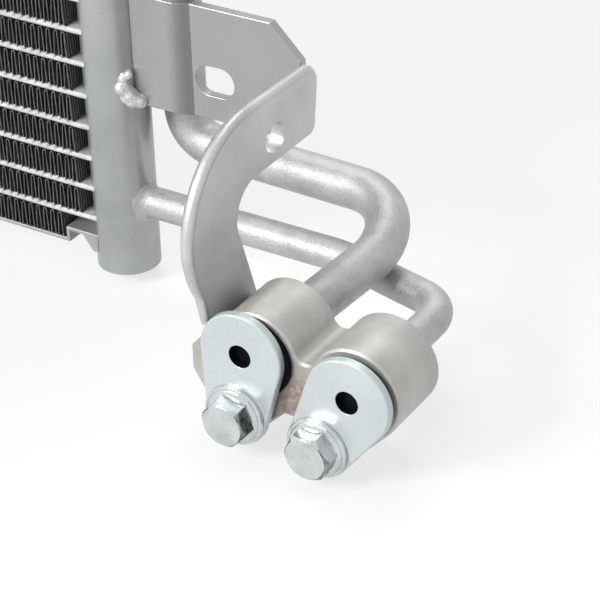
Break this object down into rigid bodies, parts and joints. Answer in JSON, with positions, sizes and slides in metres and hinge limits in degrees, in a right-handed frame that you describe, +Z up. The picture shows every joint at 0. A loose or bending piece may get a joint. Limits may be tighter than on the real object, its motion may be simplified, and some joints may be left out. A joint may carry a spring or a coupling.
{
  "type": "air conditioning condenser",
  "caption": "Flat parallel-flow condenser core with round side headers, slotted corner brackets, a pipe block with capped ports and a bent support arm.",
  "frame": {"origin": "centre of the right header's foot face", "axes": "+X along the flat tubes towards the right header's bracket, +Y away from the side with the ports, +Z up along the headers"},
  "size_m": [0.7125, 0.0912, 0.3127],
  "materials": {
    "tube_aluminium": "bright, sawn front edges",
    "fin_aluminium": "dark coated, with thin light edges",
    "plate_aluminium": "satin",
    "header_aluminium": "satin",
    "bracket_aluminium": "satin, flat",
    "weld_aluminium": "bright, rippled",
    "block_aluminium": "warm grey, as cast",
    "zinc_plate": "zinc plated, smooth, bluish white",
    "seal_rubber": "matt black",
    "zinc_bolt": "zinc plated, bright",
    "arm_aluminium": "satin",
    "pipe_aluminium": "satin, fine sparkle"
  },
  "bodies": {
    "root": {"flat_tubes": "tube_aluminium", "fins": "fin_aluminium", "lower_side_plate": "plate_aluminium", "upper_side_plate": "plate_aluminium", "right_header": "header_aluminium", "left_header": "header_aluminium", "right_foot_cap": "header_aluminium", "right_top_cap": "header_aluminium", "left_foot_cap": "header_aluminium", "left_top_cap": "header_aluminium", "right_lower_baffle": "header_aluminium", "right_upper_baffle": "header_aluminium", "left_baffle": "header_aluminium", "lower_right_bracket": "bracket_aluminium", "upper_right_bracket": "bracket_aluminium", "lower_left_bracket": "bracket_aluminium", "upper_left_bracket": "bracket_aluminium", "bracket_welds": "weld_aluminium", "connector_block": "block_aluminium", "inlet_joint": "block_aluminium", "left_cap_plate": "zinc_plate", "right_cap_plate": "zinc_plate", "left_port_seal": "seal_rubber", "right_port_seal": "seal_rubber", "left_flange_bolt": "zinc_bolt", "right_flange_bolt": "zinc_bolt", "support_arm": "arm_aluminium", "inlet_pipe": "pipe_aluminium", "outlet_pipe": "pipe_aluminium"}
  },
  "joints": []
}
